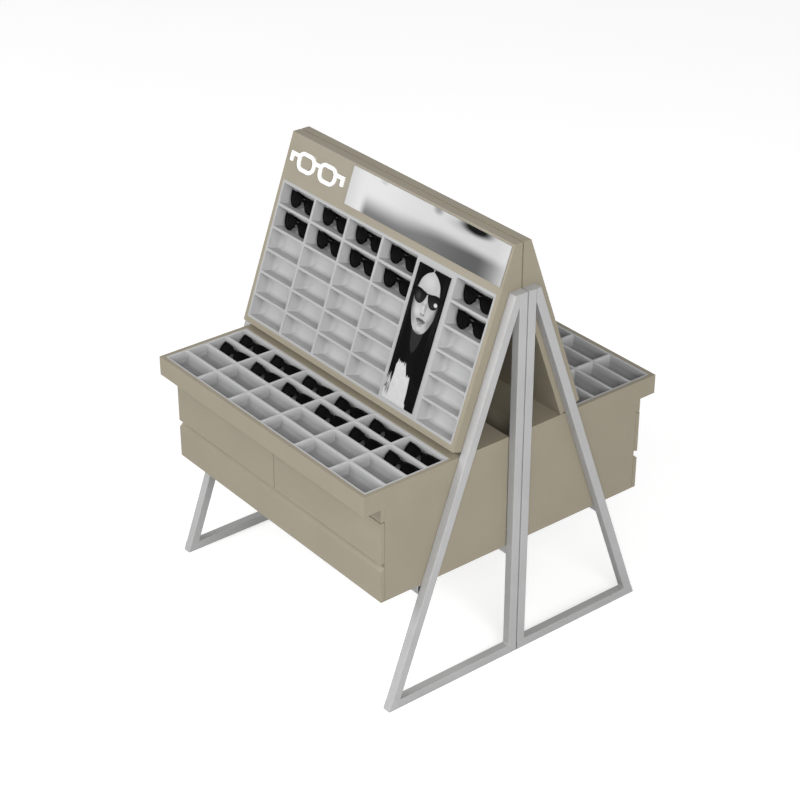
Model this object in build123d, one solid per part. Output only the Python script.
from build123d import *
import os
from math import cos, radians, sin, tan

# Double-sided eyewear display stand, in millimetres. +Z is up, X runs along the stand's length.
# The origin is on the floor, midway between the two halves. The front half is at -Y, and the
# rear half is the same half turned half a turn about Z.

# Driving dimensions
LENGTH = 1200.0            # cabinets, counters and displays, along X
BOARD = 16.0               # laminated board
TUBE = 34.0                # square tube of the frames
TUBE_WALL = 2.0
TUBE_ROUND = 3.0
SEAM = 2.0                 # half the gap between the two halves
TILT = 20.0                # lean of the display and of the sloping legs, from the vertical

FRAME_TOP = 1425.5
FOOT_TIP_Y = 574.0         # where a sloping leg's outer face meets the floor

CABINET_BOTTOM = 442.0
COUNTER_TOP = 880.0
CABINET_REAR_Y = 36.0
CARCASS_FRONT_Y = 564.0    # front edges of the cabinet's boards
DRAWER_FACE_Y = 581.0      # outer face of the drawer fronts
LIP_Y = 648.0              # outer face of the counter's lip
LIP_HEIGHT = 74.0
FASCIA_BOTTOM = 757.0
UPPER_FRONT_TOP = 753.0
UPPER_FRONT_BOTTOM = 591.0
LOWER_FRONT_TOP = 564.5
SHELF_BOTTOM = 580.0       # middle shelf between the upper drawers and the lower one
TRAY_FLOOR_BOTTOM = 818.0
TRAY_REAR_Y = 281.0        # where the compartments end and the counter's ledge begins
THIN_BOARD = 8.0

DISPLAY_DEPTH = 90.0       # across the face
DISPLAY_TOP = 1588.0
FACE_TOP_Y = 34.5          # front edge of the header's flat top
SILL = 20.0
HEADER_START = 546.0       # along the face, from its bottom edge

CELL_WIDTH = 182.5
CELL_HEIGHT = 75.0
CELL_WALL = 11.0
COUNTER_CELL_DEPTH = 41.0
DISPLAY_CELL_DEPTH = 60.0
INSERT_BASE = 4.0
INSERT_RECESS = 1.0        # the counter's compartments sit this far under its rim

PICTURE_WIDTH = 160.0
PICTURE_HEIGHT = 483.0
PICTURE_START = 39.0       # along the face
HEADER_PRINT_X = (-232.0, 591.0)
HEADER_PRINT_Y = (574.0, 713.0)
EMBLEM_CENTRE = (-418.0, 637.0)

DRAWER_SIDE = 12.0
DRAWER_BOTTOM = 5.0
DRAWER_LENGTH = 450.0
UPPER_BOX = (608.0, 728.0)
LOWER_BOX = (470.0, 560.0)
RUNNER_WIDTH = 12.7        # space for a runner between the cabinet and the drawer
RUNNER_LENGTH = 450.0
RUNNER_SHEET = 1.5
UPPER_RUNNER_Z = 650.0
LOWER_RUNNER_Z = 512.0

GLASSES_SCALE = 1.08       # the pairs are oversized; their outlines are drawn for a 150 mm width
GLASSES_HEIGHT = 52.0 * GLASSES_SCALE
COUNTER_GLASSES_TILT = 36.0

# Worked-out places
HALF = LENGTH / 2
INNER = HALF - BOARD
COS, SIN, TAN = cos(radians(TILT)), sin(radians(TILT)), tan(radians(TILT))
LIP_BOTTOM = COUNTER_TOP - LIP_HEIGHT
FACE_BOTTOM_Z = COUNTER_TOP + DISPLAY_DEPTH * SIN
FACE_BOTTOM_Y = FACE_TOP_Y + (DISPLAY_TOP - FACE_BOTTOM_Z) * TAN
CROSS_RAIL_TOP = CABINET_BOTTOM
FRONT_CROSS_RAIL_Y = FOOT_TIP_Y - (CROSS_RAIL_TOP - TUBE) * TAN

# The display's own plane: X along the stand, Y up the face, Z out of the face
FACE = Plane(origin=(0, -FACE_BOTTOM_Y, FACE_BOTTOM_Z), x_dir=(1, 0, 0), z_dir=(0, -COS, SIN))
# The counter's plane: X along the stand, Y towards the middle, Z up
COUNTER = Plane(origin=(0, -(LIP_Y - BOARD), COUNTER_TOP - INSERT_RECESS), x_dir=(1, 0, 0),
                z_dir=(0, 0, 1))


def block(x, y, z):
    """A box from its (low, high) limits."""
    low = Vector(x[0], y[0], z[0])
    size = Vector(x[1] - x[0], y[1] - y[0], z[1] - z[0])
    return Pos(*(low + size * 0.5)) * Box(*size)


def board(x, y, z, edge=0.8):
    """A laminated board with softened edges."""
    body = block(x, y, z)
    return fillet(body.edges(), edge)


def profile_yz(points, x):
    """A prism along X with the given outline in the YZ plane."""
    outline = make_face(Polyline(*points, close=True))
    return extrude(Plane.YZ.offset(x[0]) * outline, amount=x[1] - x[0])


def face_point(along, depth):
    """(y, z) of a point at a height along the display's face and a depth behind it."""
    return (-FACE_BOTTOM_Y + along * SIN + depth * COS, FACE_BOTTOM_Z + along * COS - depth * SIN)


def mirrored(body):
    """The body and its twin at the other end of the stand."""
    return [body, mirror(body, about=Plane.YZ)]


def turned(bodies):
    """The same bodies on the rear half."""
    return [Rot(0, 0, 180) * body for body in bodies]


def both_halves(bodies):
    return list(bodies) + turned(bodies)


def tube_section(size, corner):
    return RectangleRounded(size, size, corner)


# Frames

def tube_void():
    return tube_section(TUBE - 2 * TUBE_WALL, TUBE_ROUND - TUBE_WALL)


def upright_leg():
    """A square tube beside the seam, closed at its top."""
    foot = Pos(HALF + TUBE / 2, -SEAM - TUBE / 2, TUBE)
    outside = extrude(foot * tube_section(TUBE, TUBE_ROUND), amount=FRAME_TOP - TUBE)
    void = extrude(foot * tube_void(), amount=FRAME_TOP - TUBE - TUBE_WALL)
    return outside - void


def sloping_leg():
    """A leaning square tube, cut flat on the foot rail, at its top and against the upright."""
    start = Plane(origin=(HALF + TUBE / 2, -FOOT_TIP_Y + TUBE / 2 * COS, -TUBE / 2 * SIN),
                  x_dir=(1, 0, 0), z_dir=(0, SIN, COS))
    reach = FRAME_TOP / COS + TUBE
    outside = extrude(start * tube_section(TUBE, TUBE_ROUND), amount=reach)
    void = extrude(start * tube_void(), amount=reach)
    across = (HALF - TUBE, HALF + 2 * TUBE)
    keep = block(across, (-FOOT_TIP_Y - TUBE, -SEAM - TUBE), (TUBE, FRAME_TOP))
    below_cap = block(across, (-FOOT_TIP_Y - TUBE, -SEAM - TUBE), (TUBE, FRAME_TOP - TUBE_WALL))
    return (outside & keep) - (void & below_cap)


def foot_rail():
    """The tube on the floor, its tip cut to the sloping leg's outer face."""
    end = Plane(origin=(HALF + TUBE / 2, -SEAM, TUBE / 2), x_dir=(1, 0, 0), z_dir=(0, -1, 0))
    outside = extrude(end * tube_section(TUBE, TUBE_ROUND), amount=FOOT_TIP_Y - SEAM)
    closed_tip = FOOT_TIP_Y - TUBE * TAN - SEAM - 2 * TUBE_WALL
    void = extrude(end * tube_void(), amount=closed_tip)
    tip = [(-FOOT_TIP_Y, 0), (-FOOT_TIP_Y + TUBE * TAN, TUBE), (-FOOT_TIP_Y, TUBE)]
    return outside - void - profile_yz(tip, (HALF - 1, HALF + TUBE + 1))


def cross_rail(rear_face_y):
    """A tube under the cabinet between the two end frames."""
    end = Plane(origin=(-HALF, rear_face_y - TUBE / 2, CROSS_RAIL_TOP - TUBE / 2),
                x_dir=(0, 1, 0), z_dir=(1, 0, 0))
    outside = extrude(end * tube_section(TUBE, TUBE_ROUND), amount=LENGTH)
    return outside - extrude(end * tube_void(), amount=LENGTH)


def mounting_brackets():
    """Angles on the rear cross rail that carry the cabinet's rear edge."""
    thick, arm, drop, width = 3.0, 40.0, 30.0, 40.0
    face = -SEAM - TUBE
    top = CABINET_BOTTOM
    outline = [(face, top), (face, top - drop), (face - thick, top - drop),
               (face - thick, top - thick), (face - arm, top - thick), (face - arm, top)]
    middles = [LENGTH * share for share in (-0.375, -0.125, 0.125, 0.375)]
    return [profile_yz(outline, (x - width / 2, x + width / 2)) for x in middles]


# Cabinets

def end_panel():
    """One board closes the cabinet's end and the counter's end."""
    outline = [(-CARCASS_FRONT_Y, CABINET_BOTTOM), (-CABINET_REAR_Y, CABINET_BOTTOM),
               (-CABINET_REAR_Y, COUNTER_TOP), (-LIP_Y + BOARD, COUNTER_TOP),
               (-LIP_Y + BOARD, LIP_BOTTOM), (-CARCASS_FRONT_Y, LIP_BOTTOM)]
    body = profile_yz(outline, (INNER, HALF))
    return fillet(body.edges().filter_by(Axis.X, reverse=True), 0.8)


def carcass_boards():
    inside = (-INNER, INNER)
    depth = (-CARCASS_FRONT_Y, -CABINET_REAR_Y - THIN_BOARD)
    shelf_top = SHELF_BOTTOM + BOARD
    bottom = block(inside, depth, (CABINET_BOTTOM, CABINET_BOTTOM + BOARD))
    shelf = block(inside, depth, (SHELF_BOTTOM, shelf_top))
    divider = block((-BOARD / 2, BOARD / 2), depth, (shelf_top, TRAY_FLOOR_BOTTOM))
    tray_depth = (-LIP_Y + BOARD, -CABINET_REAR_Y - THIN_BOARD)
    tray_floor = block(inside, tray_depth, (TRAY_FLOOR_BOTTOM, TRAY_FLOOR_BOTTOM + BOARD))
    rail_depth = (-TRAY_REAR_Y, -TRAY_REAR_Y + BOARD)
    rail = block(inside, rail_depth, (TRAY_FLOOR_BOTTOM + BOARD, COUNTER_TOP - BOARD))
    return [bottom, shelf, divider, tray_floor, rail]


def back_panel():
    depth = (-CABINET_REAR_Y - THIN_BOARD, -CABINET_REAR_Y)
    return block((-INNER, INNER), depth, (CABINET_BOTTOM, COUNTER_TOP - BOARD))


def fascia_rail():
    """The fixed strip between the lip and the upper drawers."""
    depth = (-CARCASS_FRONT_Y - BOARD, -CARCASS_FRONT_Y)
    return board((-HALF, HALF), depth, (FASCIA_BOTTOM, LIP_BOTTOM))


def lip_board():
    return board((-HALF, HALF), (-LIP_Y, -LIP_Y + BOARD), (LIP_BOTTOM, COUNTER_TOP))


def counter_top():
    depth = (-TRAY_REAR_Y, -CABINET_REAR_Y)
    return board((-INNER, INNER), depth, (COUNTER_TOP - BOARD, COUNTER_TOP))


# Compartments

def compartment_module(plane, x, y, opening, columns, rows, depth):
    """Crossed walls on a base plate, which leave columns x rows open cells.

    x and y are the module's (low, high) limits in the plane and opening is the first cell's
    low corner. Row walls run through in the outer half of the depth, column walls in the other.
    """
    def wall_limits(low, high, first, step, size, count):
        lows = [low] + [first + i * step + size for i in range(count)]
        highs = [first + i * step for i in range(count)] + [high]
        return list(zip(lows, highs))

    along_x = wall_limits(x[0], x[1], opening[0], CELL_WIDTH + CELL_WALL, CELL_WIDTH, columns)
    along_y = wall_limits(y[0], y[1], opening[1], CELL_HEIGHT + CELL_WALL, CELL_HEIGHT, rows)
    outer = (-depth / 2, 0)
    inner = (-depth, -depth / 2)
    column_slots = [block(x, limits, outer) for limits in along_y]
    row_slots = [block(limits, y, inner) for limits in along_x]

    def softened(wall, axis):
        top_edges = wall.edges().filter_by(axis).sort_by(Axis.Z)[-2:]
        return fillet(top_edges, 1.0)

    row_walls = [softened(block(x, limits, (-depth, 0)), Axis.X) - row_slots for limits in along_y]
    column_walls = [softened(block(limits, y, (-depth, 0)), Axis.Y) - column_slots
                    for limits in along_x]
    base = block(x, y, (-depth - INSERT_BASE, -depth))
    return [plane * body for body in [base] + row_walls + column_walls]


def first_cell_x():
    """Left side of the first of six cells, centred on the stand."""
    return -(6 * CELL_WIDTH + 5 * CELL_WALL) / 2


def counter_insert():
    length = TRAY_REAR_Y - LIP_Y + BOARD
    return compartment_module(COUNTER, (-INNER, INNER), (0, -length), (first_cell_x(), 8.0),
                              6, 4, COUNTER_CELL_DEPTH)


def picture_bay():
    """The two sides of the bay in the display's fifth column."""
    left = first_cell_x() + 4 * (CELL_WIDTH + CELL_WALL)
    return left, left + CELL_WIDTH


def display_insert():
    """Four columns of shelves, a flat bay for the picture, and a last column of shelves."""
    height = (SILL, HEADER_START)
    row_start = SILL + 9.5
    bay = picture_bay()
    wide = compartment_module(FACE, (-INNER, bay[0]), height, (first_cell_x(), row_start),
                              4, 6, DISPLAY_CELL_DEPTH)
    narrow = compartment_module(FACE, (bay[1], INNER), height, (bay[1] + CELL_WALL, row_start),
                                1, 6, DISPLAY_CELL_DEPTH)
    plate = FACE * block(bay, height, (-INSERT_BASE, 0))
    return wide + narrow + [plate]


# Displays

def display_seam_z(depth):
    """Height at which a plane at this depth behind the face reaches the seam."""
    return FACE_BOTTOM_Z - depth * SIN + (FACE_BOTTOM_Y - depth * COS - SEAM) / TAN


def display_side():
    outline = [face_point(0, 0), face_point(0, DISPLAY_DEPTH),
               (-SEAM, display_seam_z(DISPLAY_DEPTH)), (-SEAM, DISPLAY_TOP),
               (-FACE_TOP_Y, DISPLAY_TOP)]
    body = profile_yz(outline, (INNER, HALF))
    return fillet(body.edges().filter_by(Axis.X, reverse=True), 0.6)


def display_back():
    """The sloping back and the upright back behind the header."""
    inner_depth = DISPLAY_DEPTH - THIN_BOARD
    inner_seam = display_seam_z(inner_depth)
    sloping = [face_point(0, DISPLAY_DEPTH), (-SEAM, display_seam_z(DISPLAY_DEPTH)),
               (-SEAM, inner_seam), face_point(0, inner_depth)]
    upright = [(-SEAM, inner_seam), (-SEAM, DISPLAY_TOP - BOARD),
               (-SEAM - THIN_BOARD, DISPLAY_TOP - BOARD),
               (-SEAM - THIN_BOARD, inner_seam - THIN_BOARD / TAN)]
    return [profile_yz(outline, (-INNER, INNER)) for outline in (sloping, upright)]


def header_rear_y(z):
    """The header board's rear face at height z."""
    return -FACE_TOP_Y - (DISPLAY_TOP - z) * TAN + BOARD / COS


def display_rails():
    """The sill under the compartments and the header's flat top."""
    sill = FACE * block((-INNER, INNER), (0, SILL), (-DISPLAY_DEPTH + THIN_BOARD, 0))
    under = DISPLAY_TOP - BOARD
    top = [(header_rear_y(under), under), (-SEAM, under), (-SEAM, DISPLAY_TOP),
           (header_rear_y(DISPLAY_TOP), DISPLAY_TOP)]
    return [sill, profile_yz(top, (-INNER, INNER))]


def header_board():
    outline = [face_point(HEADER_START, 0), (-FACE_TOP_Y, DISPLAY_TOP),
               (header_rear_y(DISPLAY_TOP), DISPLAY_TOP), face_point(HEADER_START, BOARD)]
    return profile_yz(outline, (-INNER, INNER))


# Graphics

def picture_panel():
    """A tall print on a board, centred in its bay and standing proud of it."""
    thick = 5.0
    middle = sum(picture_bay()) / 2
    across = (middle - PICTURE_WIDTH / 2, middle + PICTURE_WIDTH / 2)
    upward = (PICTURE_START, PICTURE_START + PICTURE_HEIGHT)
    return FACE * board(across, upward, (0, thick), 0.5)


def header_print():
    thick = 3.0
    return FACE * board(HEADER_PRINT_X, HEADER_PRINT_Y, (0, thick), 0.5)


def header_emblem():
    """Raised spectacles: two rounded rims, a bridge and two opened temples."""
    stroke, thick = 14.0, 6.0
    rim_width, rim_height, rim_round, rim_x = 100.0, 72.0, 32.0, 62.0
    reach, temple_y, hook_drop = 154.0, 14.0, 36.0
    rim = RectangleRounded(rim_width, rim_height, rim_round)
    hole = RectangleRounded(rim_width - 2 * stroke, rim_height - 2 * stroke, rim_round - stroke)
    sign = Pos(-rim_x, 0) * (rim - hole) + Pos(rim_x, 0) * (rim - hole)
    sign += Pos(0, temple_y) * Rectangle(2 * rim_x - rim_width + stroke, stroke)
    arm_start = rim_x + rim_width / 2 - stroke / 2
    for side in (-1, 1):
        arm = Pos(side * (arm_start + reach) / 2, temple_y) * Rectangle(reach - arm_start, stroke)
        hook_y = temple_y + (stroke - hook_drop) / 2
        hook = Pos(side * (reach - stroke / 2), hook_y) * Rectangle(stroke, hook_drop)
        sign += arm + hook
    return FACE * Pos(*EMBLEM_CENTRE) * extrude(sign, amount=thick)


# Drawers

def upper_front():
    """Its bottom edge slopes down to the outside and leaves a finger groove."""
    inner_bottom = UPPER_FRONT_BOTTOM + 6.0
    rear = -DRAWER_FACE_Y + BOARD
    outline = [(-DRAWER_FACE_Y, UPPER_FRONT_BOTTOM), (rear, inner_bottom),
               (rear, UPPER_FRONT_TOP), (-DRAWER_FACE_Y, UPPER_FRONT_TOP)]
    return fillet(profile_yz(outline, (-HALF, -1.2)).edges(), 0.8)


def lower_front():
    """Its top edge slopes down to the outside."""
    inner_top = LOWER_FRONT_TOP + 12.5
    rear = -DRAWER_FACE_Y + BOARD
    outline = [(-DRAWER_FACE_Y, CABINET_BOTTOM), (rear, CABINET_BOTTOM), (rear, inner_top),
               (-DRAWER_FACE_Y, LOWER_FRONT_TOP)]
    return fillet(profile_yz(outline, (-HALF, HALF)).edges(), 0.8)


def drawer_box(x, z):
    """Four boards round a thin bottom, behind the drawer's front."""
    front = -DRAWER_FACE_Y + BOARD
    rear = front + DRAWER_LENGTH
    inside = (x[0] + DRAWER_SIDE, x[1] - DRAWER_SIDE)
    left = block((x[0], inside[0]), (front, rear), z)
    right = block((inside[1], x[1]), (front, rear), z)
    near = block(inside, (front, front + DRAWER_SIDE), z)
    far = block(inside, (rear - DRAWER_SIDE, rear), z)
    floor_z = z[0] + 8.0
    floor = block(inside, (front + DRAWER_SIDE, rear - DRAWER_SIDE), (floor_z, floor_z + DRAWER_BOTTOM))
    return [left, right, near, far, floor]


def channel(wall_x, towards, near, far, half_height, z, opens):
    """A steel channel along Y. near and far are its limits from the cabinet's wall."""
    start = -DRAWER_FACE_Y + BOARD + 3.0
    depth = (start, start + RUNNER_LENGTH)
    spans = sorted((wall_x + towards * near, wall_x + towards * far))
    body = block(spans, depth, (z - half_height, z + half_height))
    web = RUNNER_SHEET if opens > 0 else 0
    lip = 0 if opens > 0 else RUNNER_SHEET
    hollow = sorted((wall_x + towards * (near + web), wall_x + towards * (far - lip)))
    inside = half_height - RUNNER_SHEET
    return body - block(hollow, depth, (z - inside, z + inside))


def runner_pair(opening, z):
    """Fixed, middle and drawer members at both sides of a drawer's opening."""
    fixed, middle, drawer = [], [], []
    for wall_x, towards in ((opening[0], 1), (opening[1], -1)):
        fixed.append(channel(wall_x, towards, 0, 9.0, 22.5, z, 1))
        middle.append(channel(wall_x, towards, 2.5, 10.4, 19.5, z, 1))
        drawer.append(channel(wall_x, towards, 5.0, RUNNER_WIDTH, 16.0, z, -1))
    return fixed, middle, drawer


def drawers():
    """name -> (front, opening along X, box heights, runner height) for one half."""
    left_front = upper_front()
    return {
        "left": (left_front, (-INNER, -BOARD / 2), UPPER_BOX, UPPER_RUNNER_Z),
        "right": (mirror(left_front, about=Plane.YZ), (BOARD / 2, INNER), UPPER_BOX, UPPER_RUNNER_Z),
        "lower": (lower_front(), (-INNER, INNER), LOWER_BOX, LOWER_RUNNER_Z),
    }


# Sunglasses

def glasses_outline():
    """The front seen square on: a brow line with raised corners over two rounded rims."""
    brow = [(-75, 49), (-73, 52), (-45, 50.5), (-18, 44), (0, 41.5), (18, 44), (45, 50.5), (73, 52),
            (75, 49)]
    right_rim = [(71, 36), (66, 17), (54, 3), (38, 0), (22, 6), (12, 22), (5, 31), (0, 32.5)]
    left_rim = [(-x, y) for x, y in reversed(right_rim[:-1])]
    return make_face(Spline(*brow) + Spline((75, 49), *right_rim, *left_rim, (-75, 49)))


def lens_outline(side):
    points = [(66, 45), (45, 45.5), (24, 40), (14.5, 29), (18.5, 16), (27, 7), (38, 4.2),
              (51.5, 7), (61.5, 19), (66, 34)]
    return make_face(Spline(*[(side * x, y) for x, y in points], periodic=True))


def glasses_frame():
    """A front with two lens openings and two folded temples, as one solid."""
    thick, temple, temple_height = 4.5, 3.0, (39, 49)
    body = extrude(glasses_outline(), amount=-thick)
    for side in (-1, 1):
        body -= extrude(lens_outline(side), amount=-thick)
    for side, near in ((1, 16.0), (-1, 21.0)):
        far = near + temple
        end_piece = sorted((side * 68, side * 73.5))
        reach = sorted((side * 73.5, -side * 62))
        body += block(end_piece, temple_height, (-far, -thick))
        body += block(reach, temple_height, (-far, -near))
        ear = Pos(-side * 58, 38, -near - temple / 2) * Rot(0, 0, side * 40)
        body += ear * Box(26, 9, temple)
    return scale(body, by=GLASSES_SCALE)


def glasses_lenses():
    lenses = [Pos(0, 0, -1.2) * extrude(lens_outline(side), amount=-2.0) for side in (-1, 1)]
    return [scale(lens, by=GLASSES_SCALE) for lens in lenses]


def display_glasses_places():
    """Ten pairs stand on the display's two upper shelves, clear of the picture bay."""
    places = []
    for row in (4, 5):
        floor = SILL + 9.5 + row * (CELL_HEIGHT + CELL_WALL)
        for column in (0, 1, 2, 3, 5):
            x = first_cell_x() + column * (CELL_WIDTH + CELL_WALL) + CELL_WIDTH / 2
            places.append(FACE * Pos(x, floor + 0.3, -28))
    return places


def counter_glasses_places():
    """Twelve pairs rest in the counter's two rows next to the display, brows at the rear wall."""
    places = []
    for row in (2, 3):
        cell_rear = -(LIP_Y - BOARD) + 8.0 + row * (CELL_HEIGHT + CELL_WALL) + CELL_HEIGHT
        lean = radians(COUNTER_GLASSES_TILT)
        brow_y, brow_z = cell_rear - 15.0, COUNTER_TOP - 4.5
        low_y = brow_y - GLASSES_HEIGHT * cos(lean)
        low_z = brow_z - GLASSES_HEIGHT * sin(lean)
        for column in range(6):
            x = first_cell_x() + column * (CELL_WIDTH + CELL_WALL) + CELL_WIDTH / 2
            places.append(Plane(origin=(x, low_y, low_z), x_dir=(1, 0, 0),
                                z_dir=(0, -sin(lean), cos(lean))))
    return places


def save(name, bodies):
    shape = bodies[0] if len(bodies) == 1 else Compound(children=list(bodies))
    shape.label = name
    export_step(shape, f"parts/{name}.step")


def main():
    os.makedirs("parts", exist_ok=True)
    rear_tube = -SEAM
    front_tube = -FRONT_CROSS_RAIL_Y + TUBE
    save("upright_legs", both_halves(mirrored(upright_leg())))
    save("sloping_legs", both_halves(mirrored(sloping_leg())))
    save("foot_rails", both_halves(mirrored(foot_rail())))
    save("cross_rails", both_halves([cross_rail(front_tube), cross_rail(rear_tube)]))
    save("mounting_brackets", both_halves(mounting_brackets()))

    one_half = {
        "end_panels": mirrored(end_panel()),
        "carcass_boards": carcass_boards(),
        "back_panel": [back_panel()],
        "fascia_rail": [fascia_rail()],
        "lip_board": [lip_board()],
        "counter_top": [counter_top()],
        "counter_insert": counter_insert(),
        "display_insert": display_insert(),
        "display_sides": mirrored(display_side()),
        "display_back": display_back(),
        "display_rails": display_rails(),
        "header_board": [header_board()],
    }
    fixed_members = []
    for name, (front, opening, box_z, runner_z) in drawers().items():
        fixed, middle, drawer = runner_pair(opening, runner_z)
        fixed_members += fixed
        box_x = (opening[0] + RUNNER_WIDTH, opening[1] - RUNNER_WIDTH)
        one_half[f"{name}_drawer_front"] = [front]
        one_half[f"{name}_drawer_box"] = drawer_box(box_x, box_z)
        one_half[f"{name}_drawer_runners"] = drawer
        one_half[f"{name}_middle_runners"] = middle
    for name, bodies in one_half.items():
        save(f"front_{name}", bodies)
        save(f"rear_{name}", turned(bodies))
    save("cabinet_runners", both_halves(fixed_members))

    save("picture_panels", both_halves([picture_panel()]))
    save("header_prints", both_halves([header_print()]))
    save("header_emblems", both_halves([header_emblem()]))

    frame, lenses = glasses_frame(), glasses_lenses()
    on_display, on_counter = display_glasses_places(), counter_glasses_places()
    save("display_sunglasses", [place * frame for place in on_display])
    save("counter_sunglasses", [place * frame for place in on_counter])
    save("sunglass_lenses", [place * lens for place in on_display + on_counter for lens in lenses])


main()
